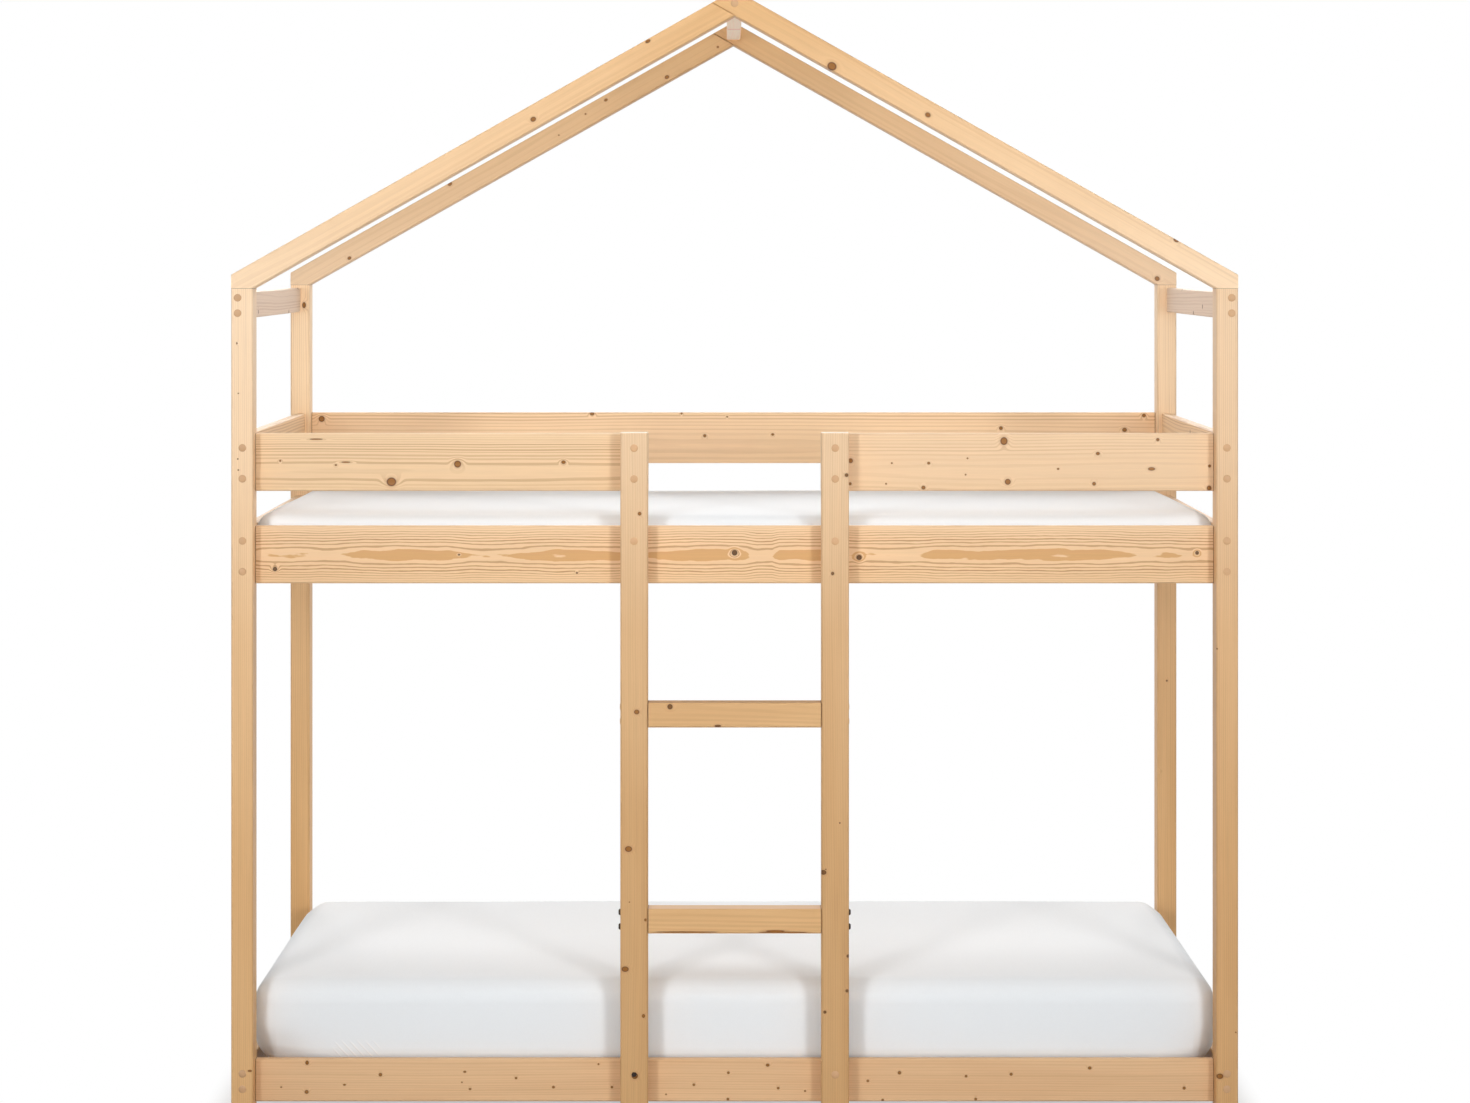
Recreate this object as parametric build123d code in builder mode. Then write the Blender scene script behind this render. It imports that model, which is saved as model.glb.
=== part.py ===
"""House bunk bed in solid pine.

Two house-shaped frames stand one behind the other. A ridge bar, top crossbars and end boards hold them
apart, and long rails run between their posts. A fixed ladder stands against the middle of the front.
Each berth is a slatted base on ledges, with a mattress in a fitted sheet.

Lengths are millimetres. X runs along the bed, Y from front to back and Z up.
The origin is on the floor, under the middle of the whole bed.
"""

from build123d import *

import os
from dataclasses import dataclass
from math import cos, radians, sin, tan

# Frames
bed_length = 2090.0
frame_depth = 980.0
post_width = 45.0
post_depth = 57.0
post_height = 1724.0
roof_pitch = 29.5  # degrees
rafter_width = 47.0
arris = 2.5  # the flat planed along a timber's edges

# Boards between the posts
board_thickness = 20.0
board_height = 120.0
guard_drop = 423.0  # from the posts' tops down to the guards' lower edges
guard_gap = 73.0  # between the guards and the upper rails
lower_rail_bottom = 27.0
lower_rail_height = 88.0
end_board_inset = 13.5
crossbar_height = 57.0
crossbar_drop = 7.0
crossbar_inset = 3.5
lower_end_centre = 78.0

# Ridge bar
ridge_bar_width = 32.0
ridge_bar_height = 28.0
ridge_bar_drop = 14.0

# Ladder
ladder_clear_width = 360.0
upright_width = 57.0
upright_depth = 45.0
upright_rise = 3.0  # above the guards
rung_height = 51.0
rung_height_shares = (0.3718, 0.7572)  # of the height of the upper rails' lower edges
rung_heads_sunk = (False, True)  # the lower rung's bolts show their heads

# Slatted bases
ledge_width = 20.0
ledge_height = 24.0
ledge_end_gap = 20.0
lower_ledge_lift = 17.0
slat_count = 14
slat_width = 80.0
slat_thickness = 18.0
slat_end_gap = 1.5

# Mattresses and their sheets
mattress_end_gap = 2.0
mattress_side_gap = 3.0
upper_mattress_thickness = 87.0
lower_mattress_thickness = 177.0
mattress_corner = 40.0
edge_roll = 24.0
side_bulge = 4.0
crown = 5.0
crown_inset = 170.0
sheet_thickness = 1.0
sheet_hem = 110.0
soft_gap = 0.3
roll_steps = 2
corner_steps = 2
bulge_height_share = 0.5
crown_step_shares = ((0.35, 0.62), (1.0, 1.0))  # share of the crown's inset, share of its rise

# Bolts, their cover caps and the nuts that lie across them
shank_radius = 3.0
head_radius = 5.8
head_height = 4.0
counterbore_depth = 8.0
bolt_clearance = 0.3
thread_clearance = 0.1
cap_radius = 8.0
cap_thickness = 1.6
nut_radius = 5.0
nut_length = 14.0
nut_clearance = 0.2
nut_reach = 35.0
thread_share = 0.8  # how far past the nut's middle a bolt's tip comes, as a share of the nut's radius
rung_head_radius = 6.5
rung_head_height = 4.5
wide_bolt_spacing = 64.0
narrow_bolt_spacing = 32.0
rung_bolt_spacing = 30.0
fastener_sides = 6  # few, because bolts, nuts and their holes repeat so often
cap_sides = 6

# Dowels
dowel_radius = 4.0
dowel_length = 50.0
dowel_clearance = 0.2
dowel_post_inset = 32.0
dowel_spacing = 28.0

overrun = 1.0  # how far a cut runs past the face that it opens

# Places worked out from the sizes
ladder_proud = upright_depth - (post_depth - board_thickness)
front_y = (ladder_proud - frame_depth) / 2
back_y = front_y + frame_depth
front_inner_y = front_y + post_depth
back_inner_y = back_y - post_depth
outer_x = bed_length / 2
inner_x = outer_x - post_width
rail_front_y = front_inner_y - board_thickness
back_rail_front_y = back_y - board_thickness
ladder_front_y = rail_front_y - upright_depth
ladder_middle_y = rail_front_y - upright_depth / 2
upright_inner_x = ladder_clear_width / 2
upright_outer_x = upright_inner_x + upright_width
upright_middle_x = upright_inner_x + upright_width / 2
slope = tan(radians(roof_pitch))
rafter_rise = rafter_width / cos(radians(roof_pitch))
eave_z = post_height + rafter_rise - post_width * slope
apex_z = eave_z + outer_x * slope
ridge_middle_z = apex_z - ridge_bar_drop - ridge_bar_height / 2
guard_bottom = post_height - guard_drop
guard_middle = guard_bottom + board_height / 2
upper_rail_bottom = guard_bottom - guard_gap - board_height
upper_rail_middle = upper_rail_bottom + board_height / 2
upright_height = guard_bottom + board_height + upright_rise
rung_centres = tuple(share * upper_rail_bottom for share in rung_height_shares)
mattress_length = 2 * (inner_x - mattress_end_gap)
mattress_width = back_rail_front_y - front_inner_y - 2 * mattress_side_gap
crossbar_middle = post_height - crossbar_drop - crossbar_height / 2
board_end_x = outer_x - end_board_inset - board_thickness / 2
crossbar_x = outer_x - crossbar_inset - board_thickness / 2
sides = {"left": -1, "right": 1}


@dataclass
class BoltedJoint:
    """A bolt whose seat lies on the outer face, with z into the wood and x towards the nut's opening."""

    seat: Plane
    through: float
    nut_half_depth: float = board_thickness / 2
    sunk: bool = True

    @property
    def nut_middle(self):
        return self.through + nut_reach

    @property
    def tip(self):
        return self.nut_middle + nut_radius * thread_share


def prism(plane, radius, start, end, sides_around=fastener_sides):
    """A many-sided bar along the plane's z, from start to end."""
    with BuildPart() as bar:
        with BuildSketch(plane.offset(start)):
            RegularPolygon(radius, sides_around)
        extrude(amount=end - start)
    return bar.part


def nut_plane(joint):
    """The plane across the nut's middle, with z along the nut's own axis."""
    middle = joint.seat.origin + joint.seat.z_dir * joint.nut_middle
    return Plane(origin=middle, x_dir=joint.seat.y_dir, z_dir=joint.seat.x_dir)


def passage(joint):
    """The hole in the outer timber: a clearance bore, and a counterbore where the head is sunk."""
    with BuildPart() as hole:
        add(prism(joint.seat, shank_radius + bolt_clearance, -overrun, joint.through + overrun))
        if joint.sunk:
            add(prism(joint.seat, head_radius + bolt_clearance, -overrun, counterbore_depth))
    return hole.part


def nut_pocket(joint):
    """The hole in the inner timber: a bore along the bolt, and a cross hole where the nut goes in."""
    with BuildPart() as pocket:
        add(prism(joint.seat, shank_radius + bolt_clearance, joint.through - overrun, joint.nut_middle))
        across = nut_plane(joint)
        opening = joint.nut_half_depth + overrun
        add(prism(across, nut_radius + nut_clearance, -nut_length / 2, opening))
    return pocket.part


def bolt(joint):
    """A bolt from its head to its tip beyond the nut."""
    seat_depth = counterbore_depth if joint.sunk else 0
    radius, height = (head_radius, head_height) if joint.sunk else (rung_head_radius, rung_head_height)
    with BuildPart() as body:
        add(prism(joint.seat, shank_radius, seat_depth, joint.tip))
        add(prism(joint.seat, radius, seat_depth - height, seat_depth))
    return body.part


def barrel_nut(joint):
    """A round nut across the bolt, with its threaded hole."""
    with BuildPart() as nut:
        add(prism(nut_plane(joint), nut_radius, -nut_length / 2, nut_length / 2))
        reach = nut_radius + overrun
        start, end = joint.nut_middle - reach, joint.nut_middle + reach
        hole = prism(joint.seat, shank_radius + thread_clearance, start, end)
        add(hole, mode=Mode.SUBTRACT)
    return nut.part


def cap(joint):
    """The cover over a counterbore, seated on the face of the wood."""
    return prism(joint.seat, cap_radius, -cap_thickness, 0, cap_sides)


def group(parts):
    """Separate solids kept together in one node."""
    with BuildPart() as together:
        add(list(parts))
    return together.part


def timber(low, high, cutters=(), eased=arris):
    """A planed timber between two corners, its edges eased along its length, with the holes that pass it."""
    size = [high[i] - low[i] for i in range(3)]
    middle = [(high[i] + low[i]) / 2 for i in range(3)]
    along = size.index(max(size))
    section = [
        Plane(origin=(low[0], middle[1], middle[2]), x_dir=(0, 1, 0), z_dir=(1, 0, 0)),
        Plane(origin=(middle[0], low[1], middle[2]), x_dir=(0, 0, 1), z_dir=(0, 1, 0)),
        Plane(origin=(middle[0], middle[1], low[2]), x_dir=(1, 0, 0), z_dir=(0, 0, 1)),
    ][along]
    with BuildPart() as bar:
        with BuildSketch(section) as profile:
            Rectangle(size[(along + 1) % 3], size[(along + 2) % 3])
            if eased:
                chamfer(profile.vertices(), eased)
        extrude(amount=size[along])
        if cutters:
            add(cutters, mode=Mode.SUBTRACT)
    return bar.part


def frame_joint(side, face, inset_x, z):
    """A joint that enters the front or back face of a post and ends in a board between the two frames."""
    y, into = (front_y, 1) if face == "front" else (back_y, -1)
    place = (sides[side] * inset_x, y, z)
    return BoltedJoint(Plane(origin=place, x_dir=(sides[side], 0, 0), z_dir=(0, into, 0)), post_depth)


def side_joint(side, face, z):
    """A joint that enters a post's outer side and ends in a long rail or board."""
    y, inwards = (rail_front_y, 1) if face == "front" else (back_rail_front_y, -1)
    place = (sides[side] * outer_x, y + board_thickness / 2, z)
    return BoltedJoint(Plane(origin=place, x_dir=(0, inwards, 0), z_dir=(-sides[side], 0, 0)), post_width)


def spaced(middle, spacing):
    """Two heights a spacing apart about a middle one."""
    return (middle - spacing / 2, middle + spacing / 2)


# Levels at which boards run from frame to frame: the board's distance from the bed's middle, its heights
end_levels = {
    "crossbar": (crossbar_x, spaced(crossbar_middle, narrow_bolt_spacing)),
    "guard": (board_end_x, spaced(guard_middle, wide_bolt_spacing)),
    "upper": (board_end_x, spaced(upper_rail_middle, wide_bolt_spacing)),
    "lower": (board_end_x, spaced(lower_end_centre, narrow_bolt_spacing)),
}
frame_joints = {
    (side, face, level): [frame_joint(side, face, inset_x, z) for z in heights]
    for side in sides
    for face in ("front", "back")
    for level, (inset_x, heights) in end_levels.items()
}

# Levels at which boards run from post to post along the bed
side_levels = {"guard": guard_middle, "upper": upper_rail_middle, "lower": lower_end_centre}
side_joints = {
    (side, face, level): side_joint(side, face, z)
    for side in sides
    for face in ("front", "back")
    for level, z in side_levels.items()
}

ridge_joints = {
    "front": BoltedJoint(
        Plane(origin=(0, front_y, ridge_middle_z), x_dir=(0, 0, 1), z_dir=(0, 1, 0)),
        post_depth,
        ridge_bar_height / 2,
    ),
    "back": BoltedJoint(
        Plane(origin=(0, back_y, ridge_middle_z), x_dir=(0, 0, 1), z_dir=(0, -1, 0)),
        post_depth,
        ridge_bar_height / 2,
    ),
}


def rung_joint(side, z, sunk):
    """A joint through an upright's outer side into the end of a rung."""
    place = (sides[side] * upright_outer_x, ladder_middle_y, z)
    seat = Plane(origin=place, x_dir=(0, 1, 0), z_dir=(-sides[side], 0, 0))
    return BoltedJoint(seat, upright_width, upright_depth / 2, sunk)


rung_joints = {
    (side, rung): [rung_joint(side, z, rung_heads_sunk[rung]) for z in spaced(centre, rung_bolt_spacing)]
    for side in sides
    for rung, centre in enumerate(rung_centres)
}

# Heights at which the ladder is bolted to the boards behind it
ladder_bolt_heights = {
    "guard": spaced(guard_middle, wide_bolt_spacing),
    "upper": spaced(upper_rail_middle, wide_bolt_spacing)[1:],
    "lower": spaced(lower_end_centre, narrow_bolt_spacing)[1:],
}


def ladder_seat(side, z):
    """The plane on an upright's front face where a bolt goes in."""
    place = (sides[side] * upright_middle_x, ladder_front_y, z)
    return Plane(origin=place, x_dir=(1, 0, 0), z_dir=(0, 1, 0))


ladder_joints = {
    (side, level): [BoltedJoint(ladder_seat(side, z), upright_depth) for z in heights]
    for side in sides
    for level, heights in ladder_bolt_heights.items()
}


def ladder_bolt(joint):
    """A bolt through the upright into the sleeve nut behind it."""
    with BuildPart() as body:
        tip = joint.through + board_thickness - thread_clearance
        add(prism(joint.seat, shank_radius, counterbore_depth, tip))
        add(prism(joint.seat, head_radius, counterbore_depth - head_height, counterbore_depth))
    return body.part


def sleeve_nut(joint):
    """A sleeve nut sunk into the back of the board, flush with it, with its threaded hole."""
    end = joint.through + board_thickness
    with BuildPart() as nut:
        add(prism(joint.seat, nut_radius, end - nut_length, end))
        hole = prism(joint.seat, shank_radius + thread_clearance, end - nut_length - overrun, end + overrun)
        add(hole, mode=Mode.SUBTRACT)
    return nut.part


def sleeve_hole(joint):
    """The hole in a board behind the ladder: a bore from the front, widened from the back for the nut."""
    end = joint.through + board_thickness
    with BuildPart() as hole:
        add(prism(joint.seat, shank_radius + bolt_clearance, joint.through - overrun, end))
        add(prism(joint.seat, nut_radius + nut_clearance, end - nut_length, end + overrun))
    return hole.part


def dowel(plane, radius=dowel_radius, length=dowel_length):
    """A dowel centred on a joint's plane."""
    return prism(plane, radius, -length / 2, length / 2)


def dowel_hole(plane):
    """The hole for a dowel, a little wider and deeper than it."""
    return dowel(plane, dowel_radius + dowel_clearance, dowel_length + 2 * dowel_clearance)


frame_middles = {"front": front_y + post_depth / 2, "back": back_y - post_depth / 2}
joint_slope = Vector(sin(radians(roof_pitch)), 0, cos(radians(roof_pitch)))
butt_x = -rafter_rise / (2 * slope)
butt_z = apex_z + butt_x * slope

eave_dowels = {
    (side, face): [
        Plane(origin=(sides[side] * (outer_x - dowel_post_inset), y + offset, post_height), z_dir=(0, 0, 1))
        for offset in spaced(0, dowel_spacing)
    ]
    for side in sides
    for face, y in frame_middles.items()
}
apex_dowels = {
    face: [
        Plane(
            origin=(butt_x / 2, y + offset, (butt_z + apex_z - rafter_rise) / 2),
            x_dir=(0, 1, 0),
            z_dir=joint_slope,
        )
        for offset in spaced(0, dowel_spacing)
    ]
    for face, y in frame_middles.items()
}


def post(side, face):
    """A post with its bolt holes, counterbored on the faces that show, and two dowel holes in its top."""
    near_x, far_x = sorted((sides[side] * inner_x, sides[side] * outer_x))
    low_y = front_y if face == "front" else back_inner_y
    holes = [passage(joint) for level in end_levels for joint in frame_joints[side, face, level]]
    holes += [passage(side_joints[side, face, level]) for level in side_levels]
    holes += [dowel_hole(plane) for plane in eave_dowels[side, face]]
    return timber((near_x, low_y, 0), (far_x, low_y + post_depth, post_height), holes)


def rafter(side, face):
    """A rafter standing on its post. The right one runs on to the roof line, and the left one butts on it."""
    if side == "left":
        outline = [
            (-outer_x, post_height),
            (-outer_x, eave_z),
            (butt_x, butt_z),
            (0, apex_z - rafter_rise),
            (-inner_x, post_height),
        ]
    else:
        outline = [
            (outer_x, post_height),
            (outer_x, eave_z),
            (0, apex_z),
            (butt_x, butt_z),
            (inner_x, post_height),
        ]
    back_of_frame = front_inner_y if face == "front" else back_y
    grain = Axis((0, 0, 0), (1, 0, -sides[side] * slope))
    cutters = [dowel_hole(plane) for plane in eave_dowels[side, face] + apex_dowels[face]]
    if side == "right":
        cutters.append(passage(ridge_joints[face]))
    with BuildPart() as beam:
        with BuildSketch(Plane.XZ.offset(-back_of_frame)):
            with BuildLine():
                Polyline(*outline, close=True)
            make_face()
        extrude(amount=post_depth)
        chamfer(beam.edges().filter_by(grain), arris)
        add(cutters, mode=Mode.SUBTRACT)
    return beam.part


def end_board(side, level, middle_z, height):
    """A board from the front frame to the back one, with a nut pocket for each bolt."""
    middle_x = sides[side] * end_levels[level][0]
    low = (middle_x - board_thickness / 2, front_inner_y, middle_z - height / 2)
    high = (middle_x + board_thickness / 2, back_inner_y, middle_z + height / 2)
    joints = frame_joints[side, "front", level] + frame_joints[side, "back", level]
    return timber(low, high, [nut_pocket(joint) for joint in joints])


def long_board(face, level, bottom, height):
    """A board or rail from post to post, bolted at both ends and, at the front, to the ladder."""
    low_y = rail_front_y if face == "front" else back_rail_front_y
    cutters = [nut_pocket(side_joints[side, face, level]) for side in sides]
    if face == "front":
        cutters += [sleeve_hole(joint) for side in sides for joint in ladder_joints[side, level]]
    low = (-inner_x, low_y, bottom)
    high = (inner_x, low_y + board_thickness, bottom + height)
    return timber(low, high, cutters)


def front_guard(side):
    """Half of the front guard, from its post to the ladder's inner edge, which leaves the way in open."""
    near_x, far_x = sorted((sides[side] * upright_inner_x, sides[side] * inner_x))
    cutters = [nut_pocket(side_joints[side, "front", "guard"])]
    cutters += [sleeve_hole(joint) for joint in ladder_joints[side, "guard"]]
    low = (near_x, rail_front_y, guard_bottom)
    high = (far_x, rail_front_y + board_thickness, guard_bottom + board_height)
    return timber(low, high, cutters)


def ledge(face, bottom):
    """A batten on a rail's inner side that carries the slats."""
    low_y = front_inner_y if face == "front" else back_rail_front_y - ledge_width
    half_length = inner_x - ledge_end_gap
    low = (-half_length, low_y, bottom)
    return timber(low, (half_length, low_y + ledge_width, bottom + ledge_height))


def slats(bottom):
    """A row of slats lying across two ledges."""
    half_length = inner_x - ledge_end_gap
    pitch = (2 * half_length - slat_width) / (slat_count - 1)
    row = []
    for number in range(slat_count):
        near_x = -half_length + number * pitch
        low = (near_x, front_inner_y + slat_end_gap, bottom)
        high = (near_x + slat_width, back_rail_front_y - slat_end_gap, bottom + slat_thickness)
        row.append(timber(low, high, eased=0))
    return group(row)


def upright(side):
    """A ladder upright with counterbored holes to the boards and plain ones to the rungs."""
    near_x, far_x = sorted((sides[side] * upright_inner_x, sides[side] * upright_outer_x))
    holes = [passage(joint) for level in ladder_bolt_heights for joint in ladder_joints[side, level]]
    holes += [passage(joint) for rung in range(len(rung_centres)) for joint in rung_joints[side, rung]]
    return timber((near_x, ladder_front_y, 0), (far_x, rail_front_y, upright_height), holes)


def ladder_rung(number):
    """A rung between the uprights, as deep as they are."""
    middle = rung_centres[number]
    low = (-upright_inner_x, ladder_front_y, middle - rung_height / 2)
    high = (upright_inner_x, rail_front_y, middle + rung_height / 2)
    joints = rung_joints["left", number] + rung_joints["right", number]
    return timber(low, high, [nut_pocket(joint) for joint in joints])


def rounded_outline(length, width, radius):
    """The points of a rectangle whose corners turn in a few even steps."""
    points = []
    for quarter, (side_x, side_y) in enumerate(((1, 1), (-1, 1), (-1, -1), (1, -1))):
        for step in range(corner_steps + 1):
            turn = radians(90) * (quarter + step / corner_steps)
            x = side_x * (length / 2 - radius) + radius * cos(turn)
            y = side_y * (width / 2 - radius) + radius * sin(turn)
            points.append((x, y))
    return points


def soft_block(bottom, thickness, grown):
    """A mattress form with a rolled top edge, bulging sides and a crown, grown by a skin's thickness."""
    base = bottom - grown
    edge_top = bottom + thickness - crown + grown
    roll = edge_roll + grown
    turns = [step * radians(90) / roll_steps for step in range(roll_steps + 1)]
    rolled = [(roll * (1 - cos(turn)), side_bulge + roll * (1 - sin(turn))) for turn in turns]
    sections = [(base + rise, inset) for rise, inset in (rolled[0], rolled[-1])]
    sections.append((base + (edge_top - base) * bulge_height_share, 0))
    sections += [(edge_top - rise, inset) for rise, inset in reversed(rolled)]
    roll_inset = sections[-1][1]
    for inset, rise in crown_step_shares:
        sections.append((edge_top + crown * rise, roll_inset + crown_inset * inset))
    middle_y = (front_inner_y + back_rail_front_y) / 2
    with BuildPart() as block:
        for z, inset in sections:
            with BuildSketch(Plane(origin=(0, middle_y, z), z_dir=(0, 0, 1))):
                length = mattress_length + 2 * (grown - inset)
                width = mattress_width + 2 * (grown - inset)
                with BuildLine():
                    Polyline(*rounded_outline(length, width, mattress_corner + grown), close=True)
                make_face()
        loft(ruled=True)
    return block.part


def sheet(bottom, thickness):
    """A fitted sheet: a skin over the whole mattress that turns in underneath as far as its hem."""
    outer = soft_block(bottom, thickness, soft_gap + sheet_thickness)
    inner = soft_block(bottom, thickness, soft_gap)
    middle_y = (front_inner_y + back_rail_front_y) / 2
    with BuildPart() as skin:
        add(outer)
        add(inner, mode=Mode.SUBTRACT)
        with BuildSketch(Plane(origin=(0, middle_y, bottom - soft_gap - sheet_thickness - overrun))):
            Rectangle(mattress_length - 2 * sheet_hem, mattress_width - 2 * sheet_hem)
        extrude(amount=overrun + sheet_thickness + soft_gap, mode=Mode.SUBTRACT)
    return skin.part


upper_ledge_bottom = upper_rail_bottom
lower_ledge_bottom = lower_rail_bottom + lower_ledge_lift
upper_slat_bottom = upper_ledge_bottom + ledge_height
lower_slat_bottom = lower_ledge_bottom + ledge_height
mattress_lift = slat_thickness + 2 * soft_gap + sheet_thickness
upper_mattress_bottom = upper_slat_bottom + mattress_lift
lower_mattress_bottom = lower_slat_bottom + mattress_lift

nodes = {}
for face in ("front", "back"):
    for side in sides:
        nodes[f"post_{face}_{side}"] = post(side, face)
        nodes[f"rafter_{face}_{side}"] = rafter(side, face)
    nodes[f"upper_rail_{face}"] = long_board(face, "upper", upper_rail_bottom, board_height)
    nodes[f"lower_rail_{face}"] = long_board(face, "lower", lower_rail_bottom, lower_rail_height)
    nodes[f"upper_ledge_{face}"] = ledge(face, upper_ledge_bottom)
    nodes[f"lower_ledge_{face}"] = ledge(face, lower_ledge_bottom)
nodes["guard_back"] = long_board("back", "guard", guard_bottom, board_height)

for side in sides:
    nodes[f"top_crossbar_{side}"] = end_board(side, "crossbar", crossbar_middle, crossbar_height)
    nodes[f"guard_end_{side}"] = end_board(side, "guard", guard_middle, board_height)
    nodes[f"upper_rail_end_{side}"] = end_board(side, "upper", upper_rail_middle, board_height)
    nodes[f"lower_rail_end_{side}"] = end_board(side, "lower", lower_end_centre, crossbar_height)
    nodes[f"guard_front_{side}"] = front_guard(side)
    nodes[f"ladder_upright_{side}"] = upright(side)

nodes["ladder_rung_lower"] = ladder_rung(0)
nodes["ladder_rung_upper"] = ladder_rung(1)

ridge_low = (-ridge_bar_width / 2, front_inner_y, ridge_middle_z - ridge_bar_height / 2)
ridge_high = (ridge_bar_width / 2, back_inner_y, ridge_middle_z + ridge_bar_height / 2)
nodes["ridge_bar"] = timber(ridge_low, ridge_high, [nut_pocket(joint) for joint in ridge_joints.values()])

nodes["upper_slats"] = slats(upper_slat_bottom)
nodes["lower_slats"] = slats(lower_slat_bottom)
nodes["upper_mattress"] = soft_block(upper_mattress_bottom, upper_mattress_thickness, 0)
nodes["lower_mattress"] = soft_block(lower_mattress_bottom, lower_mattress_thickness, 0)
nodes["upper_sheet"] = sheet(upper_mattress_bottom, upper_mattress_thickness)
nodes["lower_sheet"] = sheet(lower_mattress_bottom, lower_mattress_thickness)

all_frame_joints = [joint for joints in frame_joints.values() for joint in joints]
all_side_joints = list(side_joints.values())
all_ladder_joints = [joint for joints in ladder_joints.values() for joint in joints]
all_rung_joints = [joint for joints in rung_joints.values() for joint in joints]
all_ridge_joints = list(ridge_joints.values())
barrel_joints = all_frame_joints + all_side_joints + all_ridge_joints + all_rung_joints
open_joint = ladder_joints["left", "lower"][0]  # its cap is missing, so the hole shows
sunk_joints = [joint for joint in barrel_joints + all_ladder_joints if joint.sunk]
capped_joints = [joint for joint in sunk_joints if joint is not open_joint]

nodes["end_board_bolts"] = group(bolt(joint) for joint in all_frame_joints)
nodes["long_board_bolts"] = group(bolt(joint) for joint in all_side_joints)
nodes["ridge_bolts"] = group(bolt(joint) for joint in all_ridge_joints)
nodes["rung_bolts"] = group(bolt(joint) for joint in all_rung_joints)
nodes["ladder_bolts"] = group(ladder_bolt(joint) for joint in all_ladder_joints)
nodes["sleeve_nuts"] = group(sleeve_nut(joint) for joint in all_ladder_joints)
nodes["barrel_nuts"] = group(barrel_nut(joint) for joint in barrel_joints)
nodes["bolt_caps"] = group(cap(joint) for joint in capped_joints)
eave_planes = [plane for planes in eave_dowels.values() for plane in planes]
apex_planes = [plane for planes in apex_dowels.values() for plane in planes]
nodes["rafter_dowels"] = group(dowel(plane) for plane in eave_planes + apex_planes)

os.makedirs("parts", exist_ok=True)
for name, part in nodes.items():
    part.label = name
    export_step(part, f"parts/{name}.step")
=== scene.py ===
"""Dresses the house bunk bed: pine timbers, cover caps, bolts, mattresses, fitted sheets and a plain studio.

Lengths are metres, in the frame's own axes: X along the bed, Y from front to back and Z up.
"""

import math
import random
from dataclasses import dataclass, field

import bmesh
import bpy
from mathutils import Matrix, Vector, noise


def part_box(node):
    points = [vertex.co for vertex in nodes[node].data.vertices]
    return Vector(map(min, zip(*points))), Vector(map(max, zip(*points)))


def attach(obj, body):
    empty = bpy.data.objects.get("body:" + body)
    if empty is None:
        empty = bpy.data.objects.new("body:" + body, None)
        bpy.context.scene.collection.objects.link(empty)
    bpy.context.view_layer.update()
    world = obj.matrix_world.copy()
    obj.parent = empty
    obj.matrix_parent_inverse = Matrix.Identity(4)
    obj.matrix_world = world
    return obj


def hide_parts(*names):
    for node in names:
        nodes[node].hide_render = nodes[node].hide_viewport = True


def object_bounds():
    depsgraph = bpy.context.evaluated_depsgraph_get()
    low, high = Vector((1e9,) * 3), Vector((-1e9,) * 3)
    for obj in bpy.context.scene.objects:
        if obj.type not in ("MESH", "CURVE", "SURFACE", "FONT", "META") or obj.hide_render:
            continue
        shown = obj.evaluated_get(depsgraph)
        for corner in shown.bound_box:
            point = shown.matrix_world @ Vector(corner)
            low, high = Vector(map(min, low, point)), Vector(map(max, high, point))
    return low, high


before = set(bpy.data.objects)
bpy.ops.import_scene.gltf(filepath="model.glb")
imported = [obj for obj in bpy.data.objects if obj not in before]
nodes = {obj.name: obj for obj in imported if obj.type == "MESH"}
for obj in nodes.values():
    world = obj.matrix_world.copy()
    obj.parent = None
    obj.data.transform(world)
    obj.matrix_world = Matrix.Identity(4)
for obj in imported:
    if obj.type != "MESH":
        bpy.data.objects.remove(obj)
cad_low, cad_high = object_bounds()

bl_info = {
    "name": "House bunk bed",
    "version": (1, 0, 0),
    "blender": (4, 5, 0),
    "location": "View3D > Sidebar > Bunk bed",
    "description": "Finishes a house-shaped bunk bed in pine with made-up berths",
    "category": "Object",
}


# Shader maths


def shares_a_vector(terms):
    """Whether a sum has a colour, a vector or a triple in it."""
    for term in terms:
        if isinstance(term, Wire) and term.socket.type in ("VECTOR", "RGBA"):
            return True
        if isinstance(term, (tuple, Vector)):
            return True
    return False


def node_for(operation):
    """A method of a wire that adds the node for an operation."""

    def work(wire, *others):
        return wire.worked(operation, wire, *others)

    return work


class Wire:
    """A node's output that can stand in a sum. Each operator adds the node that works it out."""

    def __init__(self, board, socket):
        self.board = board
        self.socket = socket

    def worked(self, operation, *terms, output=0):
        if not shares_a_vector(terms):
            return self.board.node("ShaderNodeMath", {"operation": operation}, dict(enumerate(terms)))
        spread = [(term, term, term) if isinstance(term, (int, float)) else term for term in terms]
        return self.board.node(
            "ShaderNodeVectorMath", {"operation": operation}, dict(enumerate(spread)), output
        )

    __add__ = __radd__ = node_for("ADD")
    __sub__ = node_for("SUBTRACT")
    __mul__ = __rmul__ = node_for("MULTIPLY")
    __truediv__ = node_for("DIVIDE")
    __pow__ = node_for("POWER")
    __abs__ = node_for("ABSOLUTE")
    __floor__ = node_for("FLOOR")
    sine = node_for("SINE")
    lesser = node_for("MINIMUM")
    greater = node_for("MAXIMUM")

    def __rsub__(self, other):
        return self.worked("SUBTRACT", other, self)

    def along(self, direction):
        return self.worked("DOT_PRODUCT", self, tuple(direction), output="Value")

    def length(self):
        return self.worked("LENGTH", self, output="Value") if shares_a_vector((self,)) else abs(self)

    def parts(self):
        """The three numbers of a vector or colour."""
        return [
            self.board.node("ShaderNodeSeparateXYZ", {}, {"Vector": self}, output=axis) for axis in range(3)
        ]


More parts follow.
